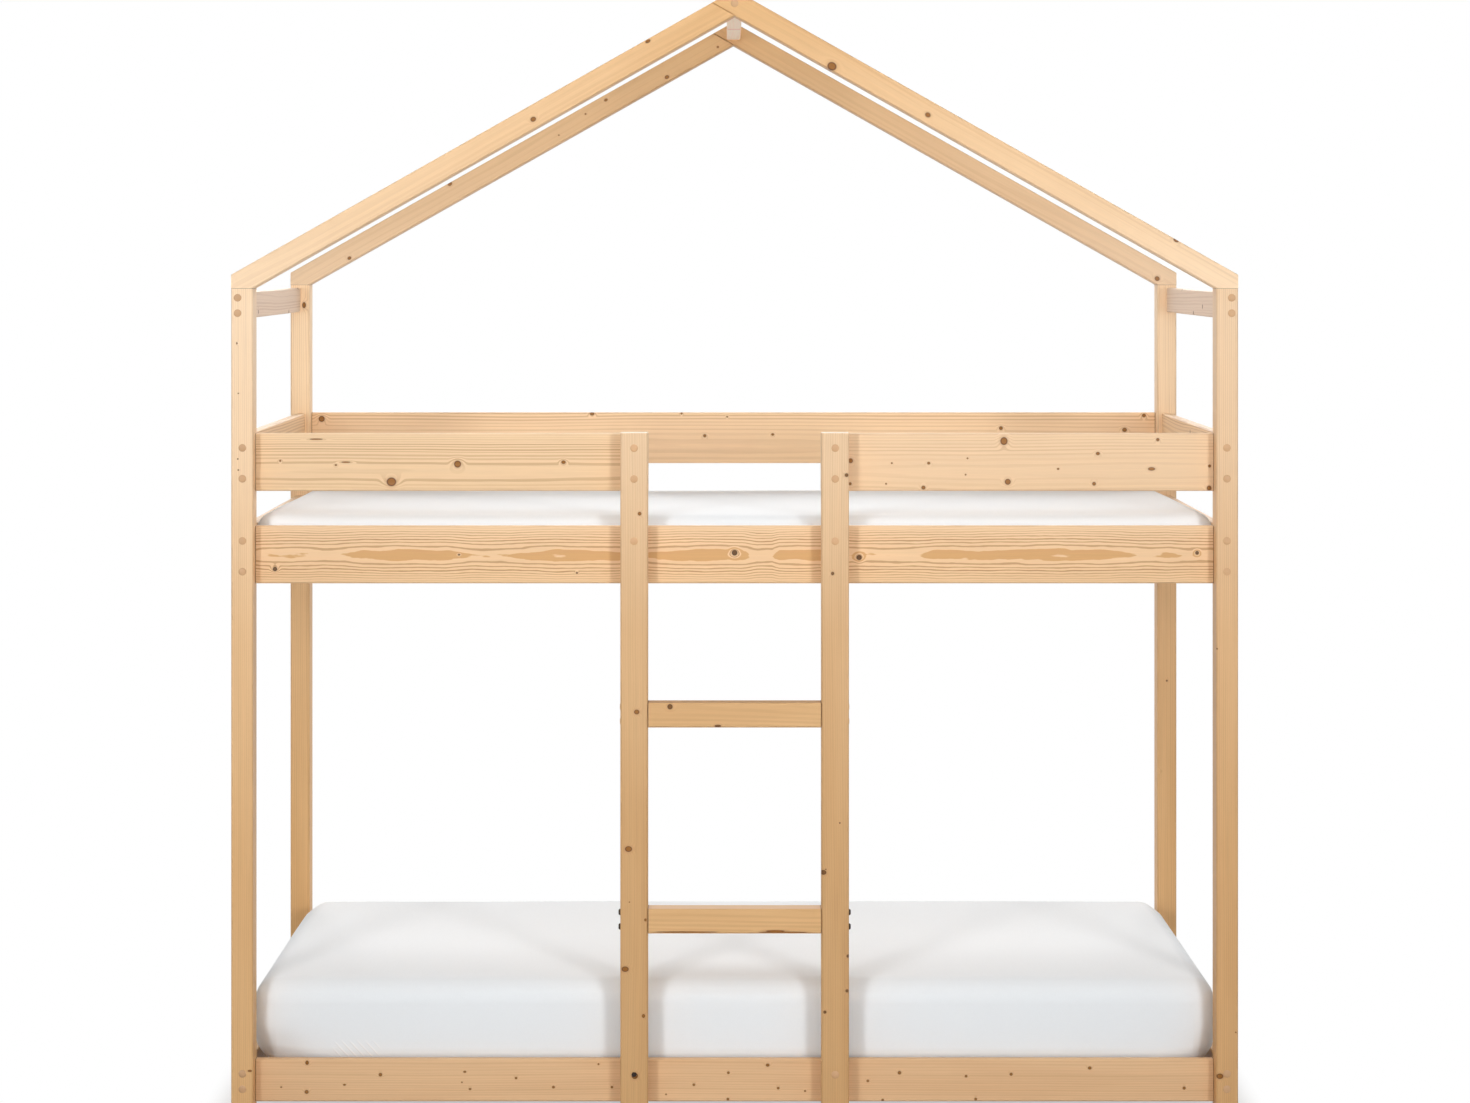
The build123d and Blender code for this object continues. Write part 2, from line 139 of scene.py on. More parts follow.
class Board:
    """A material or world to which nodes are pinned one at a time."""

    def __init__(self, owner):
        owner.use_nodes = True
        self.owner = owner
        self.tree = owner.node_tree
        self.tree.nodes.clear()

    def node(self, kind, settings=None, sockets=None, output=0):
        """Adds a node, sets it, feeds its sockets and returns one of its outputs."""
        made = self.tree.nodes.new(kind)
        for name, value in (settings or {}).items():
            if name == "stops":
                self.set_stops(made.color_ramp.elements, value)
            else:
                setattr(made, name, value)
        for key, value in (sockets or {}).items():
            if isinstance(value, Wire):
                self.tree.links.new(value.socket, made.inputs[key])
            else:
                made.inputs[key].default_value = value
        return Wire(self, made.outputs[output])

    def set_stops(self, elements, stops):
        """Sets a ramp's stops from (position, grey) pairs."""
        while len(elements) < len(stops):
            elements.new(0.5)
        for element, (position, grey) in zip(elements, stops):
            element.position = position
            element.color = (grey, grey, grey, 1)

    def finish(self, kind, shader):
        self.tree.links.new(shader.socket, self.tree.nodes.new(kind).inputs["Surface"])
        return self.owner

    def place(self):
        return self.node("ShaderNodeTexCoord", output="Object")

    def fade(self, value, start, end):
        """A smooth step from nothing at start to one at end."""
        return self.node(
            "ShaderNodeMapRange",
            {"interpolation_type": "SMOOTHSTEP"},
            {"Value": value, "From Min": start, "From Max": end},
        )

    def mixed(self, share, first, second, blend="MIX"):
        """Two colours mixed by a share."""
        return self.node(
            "ShaderNodeMix",
            {"data_type": "RGBA", "blend_type": blend, "clamp_factor": True},
            {0: share, 6: first, 7: second},
            output=2,
        )

    def cloud(self, place, scale, detail=2.0, roughness=0.5, output="Fac"):
        """Noise over a place, stretched by a scale for each axis."""
        return self.node(
            "ShaderNodeTexNoise",
            {"noise_dimensions": "3D"},
            {"Vector": place * tuple(scale), "Scale": 1.0, "Detail": detail, "Roughness": roughness},
            output=output,
        )

    def shuffled(self, value, output="Value"):
        """A number that looks random for each whole value."""
        return self.node("ShaderNodeTexWhiteNoise", {"noise_dimensions": "1D"}, {"W": value}, output=output)

    def relief(self, height, distance, strength, **below):
        """The normals of a height, over those of a relief below it if there is one."""
        sockets = {"Height": height, "Distance": distance, "Strength": strength, **below}
        return self.node("ShaderNodeBump", {}, sockets)

    def surface(self, **sockets):
        """Ends a material in a surface with these sockets."""
        named = {key.replace("_", " "): value for key, value in sockets.items()}
        return self.finish("ShaderNodeOutputMaterial", self.node("ShaderNodeBsdfPrincipled", {}, named))


def shade(colour, tone=1.0):
    """A colour as its sockets take it."""
    return (*(part * tone for part in colour[:3]), 1.0)


# Colours and sizes that a user would change


def colour_property(name, description, default):
    return bpy.props.FloatVectorProperty(
        name=name, description=description, default=default, subtype="COLOR", size=3, min=0, max=1
    )


def number_property(name, description, default, unit="NONE", **limits):
    return bpy.props.FloatProperty(name=name, description=description, default=default, unit=unit, **limits)


class PineColours(bpy.types.PropertyGroup):
    pale: colour_property("Pale wood", "Early wood between the rings", (0.78, 0.475, 0.215))
    warm: colour_property("Warm wood", "Patches that are a little deeper", (0.71, 0.41, 0.17))
    late: colour_property("Late wood", "The dark part of each ring", (0.44, 0.20, 0.065))
    knot: colour_property("Knot", "The middle of a knot", (0.27, 0.092, 0.0))
    knot_rim: colour_property("Knot rim", "The dark line round a knot", (0.10, 0.022, 0.0))
    # pale pink wood: on the crossbars and the ridge bar it is painted light, the white bounce from the floor
    # and backdrop; on the lower rail a paler tone of its own
    pink_tone_and_bounce_light: colour_property("Pale pine", "The lighter, pinker pine of the crossbars", (0.82, 0.62, 0.49))
    # painted highlight: the paler wood round the eaves, where the light falls brightest
    painted_eave_light: colour_property("Sapwood", "The palest wood, round the eaves", (1.0, 0.75, 0.505))
    flame: colour_property("Flame", "Late wood where the face grazes a ring", (0.69, 0.375, 0.15))
    # painted shadow of the joint gaps, with a little dirt
    seam: colour_property("Seam", "The dark line where a timber meets the next", (0.16, 0.065, 0.02))


class BeddingLook(bpy.types.PropertyGroup):
    cotton: colour_property("Cotton", "The fitted sheets", (0.905, 0.94, 0.97))
    cover: colour_property("Mattress cover", "The knitted cover of the foam", (0.80, 0.80, 0.79))
    hem: number_property("Hem", "How far a sheet turns in underneath", 0.11, "LENGTH")
    thread: number_property("Thread spacing", "Weave of the sheets", 0.0009, "LENGTH", precision=5)


class FastenerLook(bpy.types.PropertyGroup):
    cap_radius: number_property("Cap radius", "Cover caps over the bolts", 0.008, "LENGTH", precision=4)
    cap_rise: number_property("Cap rise", "Height of a cap over the wood", 0.0016, "LENGTH", precision=4)
    cap: colour_property("Cap", "Beech-coloured plastic", (0.66, 0.385, 0.195))
    zinc: colour_property("Zinc", "Plated steel", (0.62, 0.63, 0.64))
    dark_steel: colour_property("Dark steel", "Blackened bolt heads", (0.045, 0.035, 0.03))
    beech: colour_property("Beech", "The dowels", (0.66, 0.44, 0.26))
    beech_fleck: colour_property("Beech flecks", "The dark flecks in the dowels", (0.55, 0.34, 0.18))


class StudioSetup(bpy.types.PropertyGroup):
    camera_distance: number_property("Camera distance", "From the bed's middle", 7.236, "LENGTH")
    camera_height: number_property("Camera height", "Above the floor", 1.785, "LENGTH")
    lens: number_property("Lens", "Focal length", 79.66, "CAMERA")
    key_power: number_property("Key light", "Soft box above the front", 78.0, "POWER")
    back_power: number_property("Back light", "Soft box above the back", 205.0, "POWER")
    side_power: number_property("Side lights", "Gridded soft boxes beside the camera", 16.6, "POWER")
    ambient: number_property("Ambient", "Even light from all round", 0.27, min=0, soft_max=1)


def settings():
    scene = bpy.context.scene
    return scene.bed_pine, scene.bed_bedding, scene.bed_fasteners, scene.bed_studio


# Pieces in mesh code


def loose_parts(node):
    """The middle and the size of each separate solid in a node."""
    solids = bmesh.new()
    solids.from_mesh(nodes[node].data)
    bmesh.ops.remove_doubles(solids, verts=solids.verts, dist=1e-5)
    left, found = set(solids.verts), []
    while left:
        edge_of_search, island = [left.pop()], []
        while edge_of_search:
            corner = edge_of_search.pop()
            island.append(corner.co.copy())
            for edge in corner.link_edges:
                other = edge.other_vert(corner)
                if other in left:
                    left.remove(other)
                    edge_of_search.append(other)
        low = Vector(min(co[axis] for co in island) for axis in range(3))
        high = Vector(max(co[axis] for co in island) for axis in range(3))
        found.append(((low + high) / 2, high - low))
    solids.free()
    return sorted(found, key=lambda part: tuple(part[0]))


def facing(origin, direction):
    """A place whose own Z looks along a direction."""
    turn = Vector(direction).to_track_quat("Z", "Y").to_matrix().to_4x4()
    return Matrix.Translation(origin) @ turn


def lathe(mesh, profile, place, sides=32):
    """Turns (radius, height) pairs about a place's Z."""
    rings = []
    for radius, height in profile:
        count = sides if radius > 0 else 1
        turns = [2 * math.pi * step / sides for step in range(count)]
        points = [Vector((radius * math.cos(turn), radius * math.sin(turn), height)) for turn in turns]
        rings.append([mesh.verts.new(place @ point) for point in points])
    for lower, upper in zip(rings, rings[1:]):
        for step in range(sides):
            following = (step + 1) % sides
            if len(lower) == 1:
                corners = [lower[0], upper[following], upper[step]]
            elif len(upper) == 1:
                corners = [lower[step], lower[following], upper[0]]
            else:
                corners = [lower[step], lower[following], upper[following], upper[step]]
            mesh.faces.new(corners)


def into_scene(name, data):
    made = bpy.data.objects.new(name, data)
    bpy.context.scene.collection.objects.link(made)
    return made


def piece(name, mesh, body, finish, replaced=(), smooth_angle=35):
    """Makes an object from a mesh, in its finish, and ties it to its body."""
    bmesh.ops.recalc_face_normals(mesh, faces=mesh.faces)
    data = bpy.data.meshes.new(name)
    mesh.to_mesh(data)
    mesh.free()
    made = into_scene(name, data)
    data.shade_smooth()
    data.set_sharp_from_angle(angle=math.radians(smooth_angle))
    data.materials.append(finish)
    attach(made, body)
    if replaced:
        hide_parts(*replaced)
    return made


def give_finish(node, finish):
    """Puts a finish on a node of the frame."""
    data = nodes[node].data
    data.materials.clear()
    data.materials.append(finish)


# Timbers


@dataclass
class Timber:
    """How a timber was sawn: the way its grain runs, where its pith lies and what knots it has."""

    grain: str  # one of the directions below
    pith: tuple = (0.0, -0.05)  # across the timber and in from its middle
    ring: float = 0.0042  # a year's growth
    lines: float = 0.3  # how strongly the late wood shows
    tone: float | tuple = 1.0  # lightness, or one for each of red, green and blue
    # on the crossbars and the ridge bar this share is painted bounce light
    pink_tone_and_bounce_light: float = 0.0  # how much of the pale pine's colour it has
    wander: tuple = (0.012, 0.012)  # how far the pith strays, across and in
    knots: list = field(default_factory=list)
    knot_tone: float = 1.0
    flames: tuple = ()


roof_slope = math.radians(29.5)  # the rafters' own
under_right_rafter = (math.sin(roof_slope), 0, math.cos(roof_slope))
both_ends = [(1, 0, 0), (-1, 0, 0)]
# the dark line is painted shadow of the joint gap, with a little dirt
joint_shadow_ends = {  # the ends of a timber that show a dark line, as the ways that they face
    "post_": [(0, 0, 1)],
    "rafter_front_left": [under_right_rafter],
    "rafter_back_left": [under_right_rafter],
    "guard_front_left": [(-1, 0, 0)],
    "guard_front_right": [(1, 0, 0)],
    "guard_back": both_ends,
    "upper_rail_": both_ends,
    "lower_rail_": both_ends,
    "ladder_rung_": both_ends,
}
directions = {  # along the grain and across it
    "length": ((1, 0, 0), (0, 0, 1)),
    "width": ((0, 1, 0), (0, 0, 1)),
    "height": ((0, 0, 1), (1, 0, 0)),
    "slat": ((0, 1, 0), (1, 0, 0)),
    "left roof": (
        (math.cos(roof_slope), 0, math.sin(roof_slope)),
        (-math.sin(roof_slope), 0, math.cos(roof_slope)),
    ),
    "right roof": ((math.cos(roof_slope), 0, -math.sin(roof_slope)), under_right_rafter),
}

# How much painted highlight goes on at each share of the bed's height: most at the eaves, where the light
# falls brightest
painted_eave_light_by_height = (
    (0.0, 0.0), (0.26, 0.06), (0.43, 0.24), (0.5, 0.48), (0.575, 0.74), (0.72, 1.0), (0.80, 0.6), (1.0, 0.0),
)
narrow_joint_shadow, wide_joint_shadow = 0.0008, 0.0016
faint_joint_shadows = {"rafter_front_left": 0.4}  # the share of the full darkness

# Knots as (x, z, radius) and, for one that isn't round, its stretch along the grain. The places are the
# bed's own, on the face that looks forward. Knots and flames are in millimetres.
mm = 0.001
front_guard_left_knots = [
    (-716, 1320, 8.4, 1.1), (-578, 1357, 6.7), (-357, 1361, 3.4, 1.2), (-948, 1364, 2),
    (-832, 1355, 1.8, 1.3), (-873, 1409, 1.4, 9.0), (-811, 1361, 1.4, 6.0),
]
front_guard_right_knots = [
    (562, 1405, 7.6, 0.9), (570, 1320, 5.6), (758, 1379, 3.1, 1.2), (883, 1408, 3.1), (870, 1347, 3.2, 2.1),
    (675, 1347, 1.9, 1.2), (750, 1316, 3.5), (394, 1308, 3.5, 1.1), (405, 1359, 2.6, 1.1), (328, 1359, 1.7),
    (316, 1316, 1.7), (242, 1364, 4.5), (241, 1316, 2.8), (991, 1353, 2.8), (990, 1307, 4.5),
    (486, 1369, 1.6), (482, 1335, 1.6),
]
back_guard_knots = [
    (-976, 1406, 6.5), (-335, 1418, 3.4, 1.4), (-123, 1419, 2.2), (-15, 1411, 1.8), (-68, 1366, 3.4),
    (93, 1369, 2.6, 1.2), (634, 1384, 4), (927, 1380, 4.5, 1.1), (973, 1414, 4),
]
front_rail_knots = [
    (-959, 1138, 4.2), (-575, 1168, 1.6, 1.3), (0, 1172, 5.4), (260, 1162, 5), (965, 1172, 3.5),
    (-329, 1130, 1.8),
]
lower_front_rail_knots = [
    (-892, 108, 4.1, 0.8), (-739, 83, 3.3), (-893, 47, 3.7), (-946, 57, 1.5, 1.2), (-814, 62, 1.8, 1.5),
    (-563, 89, 2, 1.4), (-552, 53, 2.1, 1.2), (-456, 76, 2.3), (-378, 57, 2.5, 1.1), (-256, 57, 2.3),
    (69, 103, 2.9, 1.2), (-13, 87, 2.5), (-85, 62, 2.5), (91, 55, 2.5), (344, 87, 3.3), (278, 70, 2.5),
    (483, 80, 2.5), (577, 84, 2.9), (741, 97, 2.9, 1.2), (938, 55, 2.9), (-14, 32, 2.5), (147, 49, 1.8),
    (309, 30, 2.5), (503, 32, 2.6), (-569, 67, 1.5), (-284, 105, 1.8), (-185, 68, 1.6), (-143, 42, 1.5),
]

# The flames along the upper rail as (x, how many rings deep the face cuts there), in order along the board
front_rail_flames = (
    (-1000, 1.25), (-986, 1.04), (-932, 0.9), (-890, 1.04), (-861, 1.25), (-815, 1.02), (-773, 0.7),
    (-698, 0.55), (-602, 0.6), (-548, 1.15), (-466, 1), (-423, 0.68), (-373, 0.44), (-339, 0.56),
    (-243, 0.72), (-193, 0.95), (-122, 0.6), (-72, 0.45), (20, 0.62), (45, 1.2), (78, 1.15), (93, 0.6),
    (182, 0.5), (257, 1.1), (385, 1.03), (418, 0.74), (522, 0.64), (679, 0.44), (783, 0.62), (848, 1.06),
    (904, 0.88), (940, 1.15),
)
flame_rings = 1.3  # the deepest cut that a flame can have

timbers = {
    "post_front_left": Timber(
        "height", (0.05, -0.02), lines=0.22,
        knots=[
            (-1031, 1370, 1.4), (-1030, 1347, 1.4), (-1006, 100, 4, 0.5), (-1033, 1610, 1.4, 1.5),
            (-1030, 1506, 1.3),
        ],
    ),
    "post_front_right": Timber(
        "height", (-0.05, -0.03), lines=0.22, tone=(0.89, 0.85, 0.805),
        knots=[(1007, 89, 6.4, 0.8), (1001, 976, 1.6), (1040, 180, 1.4)],
    ),
    "post_back_left": Timber(
        "height", (0.03, -0.04), lines=0.25, tone=(1.0, 0.98, 0.93),
        knots=[(-1013, 1676, 4, 1.6)],
    ),
    "post_back_right": Timber("height", (-0.04, -0.04), lines=0.25, tone=(0.95, 0.93, 0.9)),
    "rafter_front_left": Timber(
        "left roof", (0.02, -0.05), lines=0.2,
        knots=[(-180, 2237, 3.2, 1.6), (-418, 2075, 4.5, 1.2), (-21, 2269, 1.8)],
    ),
    "rafter_front_right": Timber(
        "right roof", (-0.02, -0.05), lines=0.2,
        knots=[(202, 2185, 7.8, 1.15), (401, 2084, 4.5, 1.2), (916, 1824, 3.5, 1.5)],
    ),
    "rafter_back_left": Timber(
        "left roof", (0.03, -0.05), lines=0.22, tone=(0.83, 0.805, 0.78),
        knots=[
            (-157, 2214, 4, 1.2), (-301, 2160, 3, 1.3), (-669, 1962, 4, 1.2), (-349, 2127, 2),
            (-412, 2077, 1.6), (-37, 2285, 2.5), (-906, 1787, 3.5, 1.2),
        ],
    ),
    "rafter_back_right": Timber("right roof", (0.02, -0.05), lines=0.22, tone=(0.86, 0.84, 0.83)),
    "upper_rail_front": Timber(
        "length", (0.0, -0.024), 0.004, lines=1.0, tone=0.975, wander=(0.007, 0.0), knots=front_rail_knots,
        knot_tone=0.35, flames=front_rail_flames,
    ),
    "upper_rail_back": Timber("length", (0.01, -0.04), lines=0.55),
    "guard_front_left": Timber(
        "length", (-0.02, -0.0445), 0.0036, lines=0.68, tone=(0.9, 0.885, 0.835), wander=(0.014, 0.004),
        knots=front_guard_left_knots,
    ),
    "guard_front_right": Timber(
        "length", (-0.02, -0.05), 0.0044, tone=(0.905, 0.885, 0.86), wander=(0.014, 0.006),
        knots=front_guard_right_knots,
    ),
    "guard_back": Timber(
        "length", (-0.02, -0.05), 0.006, lines=0.38, tone=(0.96, 0.93, 0.89), knots=back_guard_knots,
    ),
    "lower_rail_front": Timber(
        "length", (0.08, -0.05), 0.0042, lines=0.2, tone=1.04, pink_tone_and_bounce_light=0.25, knots=lower_front_rail_knots,
    ),
    "lower_rail_back": Timber("length", (0.06, -0.05)),
    "upper_ledge_front": Timber("length", (0.04, -0.05)),
    "upper_ledge_back": Timber("length", (0.05, -0.04)),
    "lower_ledge_front": Timber("length", (-0.04, -0.05)),
    "lower_ledge_back": Timber("length", (-0.05, -0.04)),
    "ladder_upright_left": Timber(
        "height", (0.05, -0.01), 0.0048, lines=0.18, tone=(0.835, 0.815, 0.79),
        knots=[
            (-197, 1257, 3.5), (-203, 846, 5, 0.9), (-220, 562, 6.8, 0.8), (-227, 313, 6.8, 0.75),
            (-189, 216, 3, 1.2), (-185, 415, 2.2, 1.2), (-207, 92, 6), (-218, 452, 1.2),
        ],
    ),
    "ladder_upright_right": Timber(
        "height", (-0.05, -0.02), 0.0048, lines=0.18, tone=(0.835, 0.815, 0.79), knot_tone=0.5,
        knots=[
            (203, 1133, 3, 1.1), (235, 340, 3), (233, 268, 3), (187, 224, 3), (218, 616, 1.5),
            (184, 513.5, 5.6, 0.8), (189, 520, 1.2), (232, 1337, 3.5),
        ],
    ),
    "ladder_rung_lower": Timber(
        "length", (0.03, -0.05), lines=0.25, tone=0.95,
        knots=[(84, 392, 1.8, 10.0), (-100, 390, 1.2, 50.0), (100, 389.5, 1.3, 36.0)],
    ),
    "ladder_rung_upper": Timber(
        "length", (0.03, -0.05), lines=0.25, tone=(0.89, 0.87, 0.82), knot_tone=0.55,
        knots=[(-134, 857, 5), (-35, 817, 2.5, 2.4)],
    ),
    # the crossbars' pale pink is painted light from the white floor and backdrop
    "top_crossbar_left": Timber("width", (0.04, -0.05), pink_tone_and_bounce_light=0.7),
    "top_crossbar_right": Timber("width", (0.04, 0.05), pink_tone_and_bounce_light=0.7),
    "guard_end_left": Timber("width", (0.0, -0.04), lines=0.5, tone=(0.92, 0.87, 0.81)),
    "guard_end_right": Timber("width", (0.01, 0.04), lines=0.5, tone=(0.92, 0.87, 0.81)),
    "upper_rail_end_left": Timber("width", (0.01, -0.04), lines=0.6),
    "upper_rail_end_right": Timber("width", (0.0, 0.04), lines=0.6),
    "lower_rail_end_left": Timber("width", (0.03, -0.04)),
    "lower_rail_end_right": Timber("width", (0.02, 0.04)),
    # the ridge bar's whitish, pinker tone is painted light: the floor's bounce on its underside
    "ridge_bar": Timber("width", (0.03, 0.03), lines=0.08, tone=(1.5, 1.62, 1.72), pink_tone_and_bounce_light=0.7),
    "upper_slats": Timber("slat", (0.01, -0.04), lines=0.5),
    "lower_slats": Timber("slat", (0.01, -0.04), lines=0.5),
}


def own_axes(grain):
    """The turn from the bed's axes to along, across and into a timber."""
    along, across = (Vector(direction) for direction in directions[grain])
    return Matrix((along, across, along.cross(across)))


knots_through, knots_shallow = 12.0, 2.4  # a knot's length into the wood, in its own radii
plain_knots = 3  # on a timber whose knots the photograph doesn't show
plain_knot_radii, plain_knot_stretch = (0.002, 0.005), (1, 1.5)


def knot_distance(place, timber, turn, low, high, number):
    """How far a point is from the nearest knot, with a knot's own radius as one."""
    middle = (low + high) / 2
    depth = knots_shallow if timber.grain == "height" else knots_through
    knots = []
    for x, z, radius, *stretch in timber.knots:
        spot = turn @ (Vector((x * mm, low.y, z * mm)) - middle)
        knots.append((spot, radius * mm, stretch[0] if stretch else 1.0, depth))
    drawn = random.Random(number)
    for _ in range(0 if timber.knots else plain_knots):
        spot = Vector(drawn.uniform(low[axis], high[axis]) for axis in range(3))
        radius, stretch = drawn.uniform(*plain_knot_radii), drawn.uniform(*plain_knot_stretch)
        knots.append((turn @ (spot - middle), radius, stretch, knots_through))
    nearest = None
    for spot, radius, stretch, depth in knots:
        scale = Vector((1 / (radius * stretch), 1 / radius, 1 / (radius * depth)))
        offset = Vector(-spot[axis] * scale[axis] for axis in range(3))
        distance = (place * tuple(scale) + tuple(offset)).length()
        nearest = distance if nearest is None else nearest.lesser(distance)
    return nearest


def painted_joint_shadow(board, name):
    """Where a timber's end meets the next timber, as a share of the line's darkness: painted shadow of the
    joint gap, with a little dirt.
    """
    shade_there = 0
    for start, ways in joint_shadow_ends.items():
        if not name.startswith(start) or "rail_end" in name:
            continue
        width = narrow_joint_shadow if start.startswith(("post_", "rafter_")) else wide_joint_shadow
        for way in ways:
            furthest = max(corner.co.dot(Vector(way)) for corner in nodes[name].data.vertices)
            near = board.fade(board.place().along(way), furthest - width, furthest - width * 0.5)
            shade_there = near * faint_joint_shadows.get(start, 1.0) + shade_there
    return shade_there


slat_gaps, slat_width = 13, 0.08
slat_variety = (0.93, 0.12)  # the least lightness of a slat, and how much more it can have
strong_lines = 0.6  # a timber with stronger lines than this loses them towards its edges
line_loss, line_loss_edges = 0.7, (0.32, 0.46)  # the edges as shares of the timber's height

# Noise scales are repeats a metre along, across and into a timber
pith_drift = (0.9, 3, 3)
patch_scale, patch_edges = (1.6, 14, 14), (0.35, 0.68)
fibre_scale, fibre_tone = (14, 900, 900), 0.16
streak_scale, streak_tone = (3, 160, 160), 0.13
end_grain_tone, end_grain_edges = 0.16, (0.7, 0.95)

late_edge, late_end = 0.09, (0.93, 1.0)  # over which share of a ring its late wood darkens, and fades
flame_widening = 0.31
grazed_least, grazed_gain = 0.2, 1.3  # plain late wood is faint where the face grazes a ring

# Knots, in their own radii: how far they bend the rings, and where their parts start and end
knot_bend, knot_bend_edges = 1.3, (0.9, 4.0)
core_edges, core_share = (0.82, 1.04), (0.8, 0.3)
rim_inner, rim_outer, rim_share = (0.68, 0.92), (0.98, 1.2), 0.9
stain_edges, stain_share = (0.95, 2.1), 0.3


@dataclass
class RingLook:
    """How a ring's late wood is drawn."""

    ripple_scale: tuple
    ripple_detail: float
    ripple: float
    start: float  # as a share of the ring
    start_variety: float
    faintest: float


plain_rings = RingLook((7, 55, 55), 2, 0.0017, 0.35, 0.4, 0.4)
flamed_rings = RingLook((13, 60, 60), 3, 0.0042, 0.53, 0.15, 0.6)


def slat_places(board, local, low, high, number):
    """How far across its own slat a point is, and three numbers that differ from slat to slat."""
    across = local.parts()[1]
    start = low.x - (low.x + high.x) / 2
    pitch = (high.x - low.x - slat_width) / slat_gaps
    slat = math.floor((across - start) / pitch)
    return across - (slat * pitch + (start + slat_width / 2)), board.shuffled(slat + number, "Color")


def growth_rings(board, timber, place, seeded, knot_range, low, high, number):
    """The late wood of the rings about the pith, as a share, and where it is the flames' own ring."""
    along, across, depth = place
    look = flamed_rings if timber.flames else plain_rings
    wander = board.cloud(seeded, pith_drift, detail=1.5, output="Color").parts()
    strays = [(wander[axis] - 0.5) * (timber.wander[axis] * 2) for axis in (0, 1)]
    from_pith_across = across - timber.pith[0] + strays[0]
    from_pith_deep = depth - timber.pith[1] + strays[1]
    radius = (from_pith_across * from_pith_across + from_pith_deep * from_pith_deep) ** 0.5
    ripple = (board.cloud(seeded, look.ripple_scale, detail=look.ripple_detail) - 0.5) * look.ripple
    phase = (radius + ripple) / timber.ring
    if timber.flames:
        reach = high.x - low.x
        stops = [((x * mm - low.x) / reach, rings / flame_rings) for x, rings in timber.flames]
        deep = board.node("ShaderNodeValToRGB", {"stops": stops}, {"Fac": along / reach + 0.5})
        face = (high.y - low.y) / 2 - timber.pith[1]
        phase = phase + deep.parts()[0] * flame_rings - face / timber.ring
    bend = 1 - board.fade(knot_range, *knot_bend_edges)
    phase = phase - bend * bend * knot_bend

    ring = math.floor(phase)
    part = phase - ring
    chance = board.shuffled(ring + number * 13, "Color").parts()
    starts = look.start + chance[0] * look.start_variety
    flame = None
    if timber.flames:
        flame = 1 - abs(ring).lesser(1)
        starts = starts - flame * flame_widening
    late = board.fade(part - starts, 0.0, late_edge) * (1 - board.fade(part, *late_end))
    late = late * (look.faintest + chance[1] * (1 - look.faintest))
    if not timber.flames:
        late = late * (grazed_least + abs(from_pith_across) / radius * grazed_gain).lesser(1)
    if timber.lines > strong_lines:
        near_edge = board.fade(abs(across), *((high.z - low.z) * share for share in line_loss_edges))
        late = late * (1 - near_edge * line_loss)
    return late, flame


def clear_wood(board, timber, seeded, late, flame):
    """The colours of the wood between the knots: early wood, a painted highlight round the eaves, and late
    wood.
    """
    colours = bpy.context.scene.bed_pine
    patches = board.cloud(seeded, patch_scale, detail=2)
    base = board.mixed(board.fade(patches, *patch_edges), shade(colours.pale), shade(colours.warm))
    # painted highlight: paler wood towards the eaves, where the light falls brightest
    height = board.place().parts()[2] / cad_high.z
    eave_light = board.node("ShaderNodeValToRGB", {"stops": painted_eave_light_by_height}, {"Fac": height})
    base = board.mixed(eave_light.parts()[0], base, shade(colours.painted_eave_light))
    # painted bounce light on the crossbars and the ridge bar, a paler pink tone on the lower rail
    if timber.pink_tone_and_bounce_light:
        base = board.mixed(timber.pink_tone_and_bounce_light, base, shade(colours.pink_tone_and_bounce_light))
    dark = shade(colours.late)
    if timber.flames:
        dark = board.mixed(flame, dark, shade(colours.flame))
    return board.mixed(late * timber.lines, base, dark)


